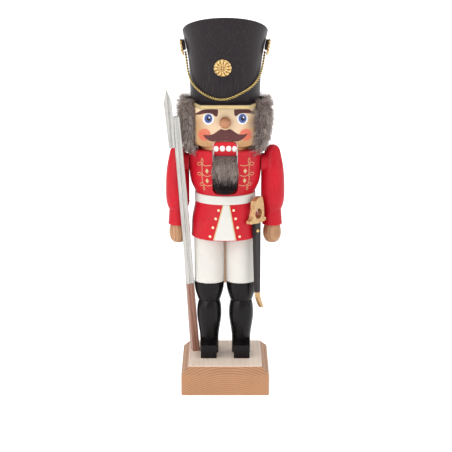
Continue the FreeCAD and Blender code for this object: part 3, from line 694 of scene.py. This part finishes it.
# One side of the braid from the top down: a leaf, then three times a loop and a swag with a
# wavy stem between them, and a last leaf
BRAID_LINES = [
    [(24.4, 245.6), (23.5, 247.6), (23.4, 249.6), (24.3, 251.8), (25.3, 249.6), (25.3, 247.4),
     (24.4, 245.4)],
    [(24.4, 245.8), (26.4, 246.8), (28.6, 246.4), (29.4, 245.0), (28.4, 243.8), (26.4, 243.9),
     (24.2, 245.2)],
    [(24.2, 245.4), (22.2, 244.3), (19.9, 244.0), (17.2, 244.4), (14.8, 245.3)],
    [(24.4, 245.2), (24.0, 243.6), (24.8, 241.9), (24.1, 240.2), (24.7, 238.4), (24.0, 236.8),
     (24.4, 235.0)],
    [(24.4, 234.9), (26.2, 235.9), (28.2, 235.8), (29.2, 234.4), (28.3, 233.1), (26.3, 233.2),
     (24.1, 234.5)],
    [(24.1, 234.6), (21.8, 233.2), (19.5, 232.7), (16.7, 233.4), (14.4, 234.6)],
    [(24.3, 234.4), (23.9, 232.8), (24.8, 231.2), (24.0, 229.4), (24.6, 227.6), (23.6, 226.0),
     (23.2, 224.0)],
    [(23.2, 224.0), (24.6, 224.8), (26.2, 224.4), (26.6, 223.0), (25.7, 221.9), (24.2, 221.8),
     (22.7, 223.2)],
    [(22.8, 223.4), (20.4, 222.4), (18.1, 222.2), (15.4, 222.9), (13.6, 223.8)],
    [(22.9, 223.0), (22.2, 220.6), (21.6, 218.6), (22.2, 216.6), (23.1, 218.6), (22.8, 221.0)],
]


def braid():
    """Gold loops and swags down each side of the chest."""
    shell = Shell()
    for side, drift in ((-1, 0.0), (1, 1.0)):
        for points in BRAID_LINES:
            stroke(shell, coat_skin, [(side * (x + drift), z) for x, z in points], width=0.62)
    shell.piece("braid", [trim_gold], "gold_paint")


def diamonds():
    shell = Shell()
    for x, z in ((-19.2, 238.5), (-19.0, 227.9), (21.2, 238.3), (20.6, 227.9)):
        spot(shell, coat_skin, x, z, 3.7, 5.6, 0.16 * MM, dome=0.1 * MM, corner=1.05, around=24)
    shell.piece("diamonds", [trim_gold], "gold_paint")


def coat_buttons():
    shell = Shell()
    for row, z in enumerate((195.7, 186.9, 177.3, 167.4)):
        for x in (-7.0 - 3.05 * row, 9.0 + 2.15 * row):
            spot(shell, coat_skin, x, z, 2.8, 2.8, 0.18 * MM, dome=0.35 * MM, around=24)
    shell.piece("coat_buttons", [dot_gold], "gold_paint")


def coat_front():
    """The white wedge where the coat opens, with a gold border each side."""
    shell = Shell()
    top, bottom = 201.4, 163.6
    left = (-2.0, -12.4)
    right = (4.3, 11.4)
    rows = 40
    grid, heights = [], []
    for i in range(rows + 1):
        share = i / rows
        z = top + (bottom - top) * share
        start = left[0] + (left[1] - left[0]) * share
        end = right[0] + (right[1] - right[0]) * share
        grid.append([(start + (end - start) * j / 14, z) for j in range(15)])
        heights.append([0 if j in (0, 14) else 0.12 * MM for j in range(15)])
    film(shell, coat_skin, grid, heights)
    shell.piece("coat_front", [white_paint], "white_paint")
    border = Shell()
    for ends in (left, right):
        points = [(ends[0] + (ends[1] - ends[0]) * t, top + (bottom - top) * t) for t in (0, 0.33, 0.66, 1)]
        stroke(border, coat_skin, points, width=1.25, height=0.2 * MM, blunt=True)
    border.piece("coat_front_border", [trim_gold], "gold_paint")


# ---------------------------------------------------------------- hat

def visor_trim():
    """Gold paint along the visor's front and side edges."""
    low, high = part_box("visor")
    side_x, side_y, front_x = 34.5 * MM, -17.1 * MM, 25.7 * MM
    corners = [(-side_x, side_y), (-front_x, low.y), (front_x, low.y), (side_x, side_y)]
    middle = (low.z + high.z) / 2 - 0.15 * MM
    shell = Shell()
    for (x0, y0), (x1, y1) in zip(corners, corners[1:]):
        out = Vector((y1 - y0, x0 - x1, 0)).normalized()
        if out.y > 0:
            out = -out
        centres = [Vector((x0 + (x1 - x0) * t / 12, y0 + (y1 - y0) * t / 12, middle)) for t in range(13)]
        ribbon(shell, centres, [out] * 13, [3.9 * MM] * 13, 0.22 * MM)
    shell.piece("visor_trim", [trim_gold], "gold_paint")


def petal_height(reach, angle):
    """The brass flower's height in millimetres over its back: petals round a small inner flower."""
    outer = abs(math.cos(PETALS / 2 * angle)) ** 0.6
    inner = abs(math.cos(4 * angle)) ** 0.7
    dome = 0.9 + 1.4 * (1 - reach ** 2)
    swell = math.sin(math.pi * min(max((reach - 0.36) / 0.66, 0), 1)) ** 0.7
    bloom = math.sin(math.pi * min(max((reach - 0.08) / 0.27, 0), 1)) ** 0.8
    bead = math.sqrt(max(1 - (reach / 0.1) ** 2, 0))
    return dome - 0.75 + 1.6 * swell * outer + 1.0 * bloom * inner + 0.9 * bead


def rosette_pad(name, place, direction):
    """The dark pad between a side flower and the hat, open below for the end of the cord."""
    side = direction.cross((0, 0, 1)).normalized()
    up = side.cross(direction).normalized()
    start = -math.asin((place.z / MM - PAD_FOOT_Z) / (PAD_RADIUS * up.z))
    rings = [(-PAD_DEEP, 0.95), (-PAD_DEEP + 0.3, 1.0), (0.0, 1.0), (0.4, 0.9)]
    around = 40
    points = []
    for height, reach in rings:
        for j in range(around + 1):
            angle = start + (math.pi - 2 * start) * j / around
            ripple = 1 + 0.008 * math.sin(23 * angle)
            across = PAD_RADIUS * ripple * math.cos(angle) * reach
            above = PAD_RADIUS * math.sin(angle)
            above = max(above * reach, PAD_RADIUS * math.sin(start))
            points.append(place + (side * across + up * above + direction * height) * MM)
    count = around + 1
    faces = wrap_faces(len(rings), count, closed=True)
    faces += [tuple(range(count)), tuple(len(points) - count + j for j in range(count))]
    shell = Shell()
    shell.add(points, faces)
    shell.piece(name + "_pad", [dark_pad], "brass")


def rosettes():
    around, rings = 144, 30
    for name, (place, direction) in ROSETTES.items():
        turn = Vector((0, 0, 1)).rotation_difference(Vector(direction)).to_matrix().to_4x4()
        world = Matrix.Translation(place) @ turn
        points = []
        for i in range(rings + 1):
            reach = i / rings
            for j in range(around):
                angle = 2 * math.pi * j / around
                notch = 1 - abs(math.cos(PETALS / 2 * angle)) ** 0.5
                across = reach * (FLOWER_RADIUS * (1 - 0.09 * notch * reach ** 3))
                height = petal_height(reach, angle) if i < rings else 0.5
                points.append((across * math.cos(angle), across * math.sin(angle), height))
        for reach in (FLOWER_RADIUS - 0.2, 0.0):
            points += [(reach * math.cos(2 * math.pi * j / around) * 0.94,
                        reach * math.sin(2 * math.pi * j / around) * 0.94, 0) for j in range(around)]
        faces = wrap_faces(rings + 3, around, closed=True)
        shell = Shell()
        shell.add([world @ (Vector(point) * MM) for point in points], faces)
        shell.piece(name + "_flower", [brass], "brass", replaces=[name])
        if name != "rosette_front":
            rosette_pad(name, Vector(place), Vector(direction).normalized())


def cord_line():
    """Points read from the NURBS spline of the cord's route."""
    curve = bpy.data.curves.new("cord_route", "CURVE")
    curve.dimensions = "3D"
    curve.resolution_u = 14
    spline = curve.splines.new("NURBS")
    spline.points.add(len(CORD_ROUTE) - 1)
    for point, place in zip(spline.points, CORD_ROUTE):
        point.co = (*place, 1)
    spline.order_u = 3
    spline.use_endpoint_u = True
    holder = bpy.data.objects.new("cord_route", curve)
    mesh = bpy.data.meshes.new_from_object(holder)
    line = np.array([vertex.co for vertex in mesh.vertices])
    bpy.data.meshes.remove(mesh)
    bpy.data.objects.remove(holder)
    bpy.data.curves.remove(curve)
    return line


def spread_evenly(line, step):
    """Points about a step apart along the line, and how far along it each one lies."""
    along = distances(line)
    at = np.linspace(0, along[-1], int(along[-1] / step) + 1)
    return np.stack([np.interp(at, along, line[:, k]) for k in range(3)], axis=1), at


def hat_cord():
    """Two strands of gold thread twisted round each other and round a dark core, which is painted shade for
    the grooves between them.
    """
    route = cord_line()
    centres, along = spread_evenly(route, 0.35 * MM)
    runs = unit(np.gradient(centres, axis=0))
    side = np.cross(runs, (0, 0, 1.0))
    side[np.linalg.norm(side, axis=1) < 0.2] = (0, 1, 0)
    for i in range(1, len(side)):
        side[i] = side[i - 1] - runs[i] * np.dot(side[i - 1], runs[i])
        side[i] /= np.linalg.norm(side[i])
    up = np.cross(runs, side)
    shell = Shell()
    corners = 10
    thick, out = CORD_DIAMETER * 0.22, CORD_DIAMETER * 0.28
    # The third part, thinner and dark, is painted shade for the grooves between the two gold strands
    rope_parts = ((0, thick, out, 0), (math.pi, thick, out, 0), (0, thick * 0.8, 0, 1))
    for start, strand, offset, slot in rope_parts:
        turn = 2 * math.pi * along / CORD_TWIST + start
        middle = centres + offset * (np.cos(turn)[:, None] * side + np.sin(turn)[:, None] * up)
        points = []
        for i, point in enumerate(middle):
            for k in range(corners):
                angle = 2 * math.pi * k / corners + turn[i]
                points.append(point + strand * (math.cos(angle) * side[i] + math.sin(angle) * up[i]))
        faces = wrap_faces(len(middle), corners, closed=True)
        faces += [tuple(range(corners)), tuple(len(points) - corners + k for k in range(corners))]
        shell.add(points, faces, slot)
    rope = shell.piece("twisted_hat_cord", [gold_thread, cord_groove_shade], "gold_cord", replaces=["hat_cord"])


brows()
moustache()
eyes()
teeth()
braid()
diamonds()
coat_buttons()
coat_front()
visor_trim()
rosettes()
hat_cord()


# ---------------------------------------------------------------- fur

FUR_TONES = {
    "fur_root": (92, 79, 75),
    "fur_dark": (126, 111, 106),
    "fur_mid": (164, 148, 141),
    "fur_light": (200, 186, 177),
    "fur_tip": (224, 213, 204),
    "fur_black": (34, 25, 26),
}


def fur_finish(name, colour):
    finish = Finish(name, roughness=0.55, specular=0.25)
    finish.set("Base Color", colour)
    return finish


fur_finishes = [fur_finish(name, colour) for name, colour in FUR_TONES.items()]
ROOT, DARK, MIDDLE, LIGHT, TIP, BLACK = range(len(FUR_TONES))

# Roots drawn over each solid, the width of a hair at its root, and where the beard's black ends start
WIG_ROOTS = 26000
WIG_HAIR = 0.26 * MM
BEARD_ROOTS = 9000
BEARD_HAIR = 0.24 * MM
BEARD_BLACK_Z = 240
BEARD_BLACK_FADE = 10


def undercoat_finish(name, light, dark):
    """Matted hair close to the hide, which shows between the strands."""
    finish = Finish(name, roughness=0.8, specular=0.15)
    matted = finish.noise(0.8, 4, stretch=(1, 1, 0.25))
    finish.set("Base Color", finish.tint(dark, light, matted, 0.35, 0.7))
    finish.bump(matted, 0.8, 0.9)
    return finish


undercoat = undercoat_finish("fur_undercoat", FUR_TONES["fur_dark"], FUR_TONES["fur_root"])


def hide(name, node, shrink, body, foot):
    """The soft body under the strands: the CAD solid pulled in, rounded and made uneven."""
    mesh = NODES[node].data.copy()
    mesh.name = name
    mesh.materials.clear()
    mesh.materials.append(undercoat.material)
    piece = placed(name, mesh)
    remesh = piece.modifiers.new("even", "REMESH")
    remesh.mode = "VOXEL"
    remesh.voxel_size = 1.2 * MM
    smooth = piece.modifiers.new("smooth", "SMOOTH")
    smooth.iterations = 6
    shaped = bpy.data.meshes.new_from_object(piece.evaluated_get(bpy.context.evaluated_depsgraph_get()))
    piece.modifiers.clear()
    piece.data = shaped
    shaped.name = name
    points = np.array([vertex.co for vertex in shaped.vertices])
    normals = np.array([vertex.normal for vertex in shaped.vertices])
    lumps = 0.35 * np.sin(points[:, 2] * 900 + 3 * np.sin(points[:, 0] * 400)) * np.sin(points[:, 1] * 700)
    points -= normals * ((shrink + lumps) * MM)[:, None]
    points[:, 2] = np.maximum(points[:, 2], foot * MM - 0.2 * points[:, 1])
    shaped.vertices.foreach_set("co", points.ravel())
    shaped.shade_smooth()
    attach(piece, body)
    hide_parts(node)


def roots_on(mesh, count, keep, rng):
    """Points spread evenly over a mesh where keep allows them, and the way its surface faces there."""
    mesh.calc_loop_triangles()
    points = np.array([vertex.co for vertex in mesh.vertices])
    corners = np.array([triangle.vertices for triangle in mesh.loop_triangles])
    a, b, c = points[corners[:, 0]], points[corners[:, 1]], points[corners[:, 2]]
    cross = np.cross(b - a, c - a)
    area = np.linalg.norm(cross, axis=1)
    chosen = rng.choice(len(area), count, p=area / area.sum())
    u, v = rng.random((2, count, 1))
    over = u + v > 1
    u, v = np.where(over, 1 - u, u), np.where(over, 1 - v, v)
    place = a[chosen] + u * (b[chosen] - a[chosen]) + v * (c[chosen] - a[chosen])
    facing = cross[chosen] / area[chosen][:, None]
    kept = keep(place / MM, facing)
    return place[kept], facing[kept]


def clump(place, size, rng):
    """Four random numbers for each root, the same for all roots in one cell of a coarse grid."""
    cells = np.floor(place / (size * MM) + 1000).astype(int)
    mixed = (cells[:, 0] * 73856093) ^ (cells[:, 1] * 19349663) ^ (cells[:, 2] * 83492791)
    table = rng.random((4096, 4))
    return table[np.abs(mixed) % 4096]


def strands(name, roots, flow, lengths, tones, width, body):
    """Tapering hairs, each a thin closed spike bent along its flow."""
    segments, corners = 5, 3
    place, facing = roots
    count = len(place)
    tangent = unit(flow)
    steps = np.linspace(0, 1, segments + 1)
    lift = facing * 0.55 + tangent * 0.45
    path = []
    for t in steps:
        lay = lift * (t - 0.5 * t * t) + tangent * (0.5 * t * t + 0.15 * t)
        path.append(place + lay * lengths[:, None])
    path = np.stack(path, axis=1)
    run = unit(path[:, -1] - path[:, 0])
    side = unit(np.cross(run, facing))
    up = np.cross(run, side)
    points = np.zeros((count, segments * corners + 1, 3))
    for i in range(segments):
        half = 0.5 * width * (1 - 0.8 * steps[i] ** 1.5)
        for k in range(corners):
            angle = 2 * math.pi * k / corners
            points[:, i * corners + k] = path[:, i] + half[:, None] * (
                math.cos(angle) * side + 0.6 * math.sin(angle) * up)
    points[:, -1] = path[:, -1]
    pattern = wrap_faces(segments, corners, closed=True)
    tip, last = segments * corners, (segments - 1) * corners
    spikes = [(last + k, last + (k + 1) % corners, tip) for k in range(corners)]
    ends = [(2, 1, 0)]
    size = segments * corners + 1
    starts = (np.arange(count) * size)[:, None, None]
    quads = (np.array(pattern)[None] + starts).reshape(-1, 4)
    triangles = (np.array(spikes + ends)[None] + starts).reshape(-1, 3)
    mesh = bpy.data.meshes.new(name)
    mesh.from_pydata(points.reshape(-1, 3).tolist(), [], quads.tolist() + triangles.tolist())
    for finish in fur_finishes:
        mesh.materials.append(finish.material)
    root_tone, body_tone, tip_tone = tones
    by_segment = [root_tone, body_tone, body_tone, tip_tone]
    quad_slots = np.repeat(np.stack(by_segment, axis=1), corners, axis=1).ravel()
    end_slots = np.stack([tip_tone] * corners + [root_tone], axis=1).ravel()
    mesh.polygons.foreach_set("material_index", np.concatenate([quad_slots, end_slots]).astype(np.int32))
    mesh.shade_smooth()
    piece = placed(name, mesh)
    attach(piece, body)
    return piece


def wig_keep(place, facing):
    """Roots only where the wig is open to the air, away from the head, hat, visor and arms."""
    x, y, _ = place.T
    radius = np.hypot(x, y)
    inward = (facing[:, 0] * x + facing[:, 1] * y) / radius < -0.3
    return ~(inward & (radius < 41)) & ~((facing[:, 2] > 0.7) & (radius < 42.5)) & (y > -25.8)


def wig():
    rng = np.random.default_rng(11)
    hide("wig_hide", "wig", 2.6, "figure", foot=254.5)
    roots, facing = roots_on(NODES["wig"].data, WIG_ROOTS, wig_keep, rng)
    place = roots / MM
    x, y, z = place.T
    count = len(place)
    radial = unit(place * (1, 1, 0))
    height = np.clip((z - 266) / 46, 0, 1)
    tuft = clump(roots, 3.2, rng)
    wisp = clump(roots, 1.3, rng)
    flow = np.zeros_like(facing)
    flow += radial * (0.75 * height ** 3)[:, None]
    flow[:, 2] += -1.0 + 1.25 * height ** 3
    front = (facing[:, 1] < -0.6) & (y < -20)
    inward = front & (x > 0) & (x < 37) & (z < 304)
    flow[inward] = (-1.0, -0.4, -0.45)
    flow += (tuft[:, :3] - 0.5) * 0.75 + (wisp[:, :3] - 0.5) * 0.5
    flow = unit(flow + rng.normal(0, 0.1, flow.shape))
    lengths = 4.6 + 2.6 * tuft[:, 3] + 1.8 * rng.random(count) + 1.0 * inward
    fall = np.maximum(-flow[:, 2], 0.05)
    floor_z = 252.5 - 0.2 * y - 3.0 * rng.random(count) * (x < 0)
    lengths = np.clip(lengths, 1.5, np.maximum((z - floor_z) / fall, 1.5)) * MM
    tone = tuft[:, 3] * 0.45 + wisp[:, 3] * 0.3 + rng.random(count) * 0.35
    body_tone = np.select([tone < 0.38, tone < 0.72], [DARK, MIDDLE], LIGHT)
    tip_tone = np.select([tone < 0.3, tone < 0.6, tone < 0.9], [DARK, MIDDLE, LIGHT], TIP)
    root_tone = np.full(count, ROOT)
    width = WIG_HAIR * (0.8 + 0.4 * rng.random(count))
    start = roots - facing * (3.0 - 2.4 * inward)[:, None] * MM
    parts = {"wig_fur_right": x < -24, "wig_fur_left": x > 24}
    parts["wig_fur_back"] = ~(parts["wig_fur_right"] | parts["wig_fur_left"])
    for name, chosen in parts.items():
        tones = (root_tone[chosen], body_tone[chosen], tip_tone[chosen])
        strands(name, (start[chosen], facing[chosen]), flow[chosen], lengths[chosen], tones,
                width[chosen], "figure")


def beard_keep(place, facing):
    """Roots on the front and sides of the beard, and not where it faces the coat."""
    return (place[:, 1] < -27.0) & (facing[:, 1] < 0.15)


def beard():
    rng = np.random.default_rng(12)
    hide("beard_hide", "beard", 0.9, "lever", foot=0.0)
    roots, facing = roots_on(NODES["beard"].data, BEARD_ROOTS, beard_keep, rng)
    place = roots / MM
    x, _, z = place.T
    count = len(place)
    tuft = clump(roots, 2.6, rng)
    wisp = clump(roots, 1.0, rng)
    flow = np.zeros_like(facing)
    flow[:, 2] = -1.0
    flow[:, 0] = -0.012 * x
    flow += facing * 0.1
    flow += (tuft[:, :3] - 0.5) * 0.22 + (wisp[:, :3] - 0.5) * 0.16
    flow += rng.normal(0, 0.045, flow.shape)
    flow[:, 1] = np.minimum(flow[:, 1], 0)
    lengths = (7.0 + 3.0 * tuft[:, 3] + 2.0 * rng.random(count)) * MM
    foot = np.interp(np.abs(x), (0, 8.6, 11.9, 13.6, 14.3), (214.0, 216.6, 221.0, 227.0, 232.0))
    lengths = np.minimum(lengths, np.maximum(z - foot, 1.5) * MM)
    low = np.clip((BEARD_BLACK_Z - z) / BEARD_BLACK_FADE, 0, 1)
    tone = tuft[:, 3] * 0.4 + wisp[:, 3] * 0.3 + rng.random(count) * 0.35
    dark = rng.random(count) < low
    body_tone = np.where(dark, BLACK, np.select([tone < 0.45, tone < 0.8], [DARK, MIDDLE], LIGHT))
    tip_tone = np.where(dark, BLACK, np.select([tone < 0.3, tone < 0.65], [DARK, MIDDLE], LIGHT))
    root_tone = np.where(dark, BLACK, ROOT)
    width = BEARD_HAIR * (0.8 + 0.4 * rng.random(count))
    depth = (1.0 + 1.5 * np.abs(facing[:, :1])) * MM
    strands("beard_fur", (roots - facing * depth, facing), flow, lengths,
            (root_tone, body_tone, tip_tone), width, "lever")


wig()
beard()


# ---------------------------------------------------------------- studio

def floor():
    """A wide white floor, lit from within a little like a studio sweep."""
    mesh = bpy.data.meshes.new("floor")
    mesh.from_pydata([(-12, -6, 0), (12, -6, 0), (12, 24, 0), (-12, 24, 0)], [], [(0, 1, 2, 3)])
    finish = Finish("floor_white", roughness=0.9, specular=0.1)
    grain = finish.noise(0.02, 2)
    finish.set("Base Color", finish.mix(grain, (0.84, 0.84, 0.84, 1), (0.86, 0.86, 0.86, 1)))
    finish.set("Emission Color", (1, 1, 1, 1))
    finish.set("Emission Strength", 0.5)
    mesh.materials.append(finish.material)
    sheet = placed("floor", mesh)


def sun(name, azimuth, elevation, strength, angle):
    """A distant lamp; azimuth 0 is in front of the figure and 90 at its left, in degrees."""
    lamp = bpy.data.lights.new(name, "SUN")
    lamp.energy = strength
    lamp.angle = math.radians(angle)
    a, e = math.radians(azimuth), math.radians(elevation)
    towards = Vector((math.sin(a) * math.cos(e), -math.cos(a) * math.cos(e), math.sin(e)))
    placed(name, lamp).rotation_euler = towards.to_track_quat("Z", "Y").to_euler()


# The studio's even light, and its soft boxes, which show as reflections: the way to each, the
# cosines of its inner and outer reach, and its gain
WORLD_LOW = 0.3
SOFTBOXES = [
    ((-0.75, -0.6, 0.25), 0.95, 0.86, 1.8),
    ((0.85, -0.3, 0.15), 0.96, 0.9, 1.6),
    ((0, 0, 1), 0.95, 0.55, 1.25),
]


def studio():
    floor()
    world = bpy.data.worlds.new("studio")
    world.use_nodes = True
    bpy.context.scene.world = world
    sky = Nodes(world.node_tree)
    direction = sky.add("TexCoord").outputs["Generated"]
    strength = WORLD_LOW
    for towards, inner, outer, gain in SOFTBOXES:
        product = sky.vector("DOT_PRODUCT", direction, Vector(towards).normalized())["Value"]
        strength = sky.maths("ADD", strength, sky.between(product, outer, inner, 0.0, gain))
    sky.fed(sky.tree.nodes["Background"], (1, 1, 1, 1), strength)
    sun("key", -28, 27, 0.7, 40)
    sun("fill", 32, 15, 0.3, 60)
    bpy.context.scene.view_settings.view_transform = "Standard"
    camera_data = bpy.data.cameras.new("camera")
    camera_data.lens = CAMERA_LENS
    camera_data.sensor_width = CAMERA_SENSOR
    camera = placed("camera", camera_data)
    camera.location = CAMERA_PLACE
    camera.rotation_euler = (math.pi / 2 - CAMERA_PITCH, 0, 0)
    bpy.context.scene.camera = camera


studio()
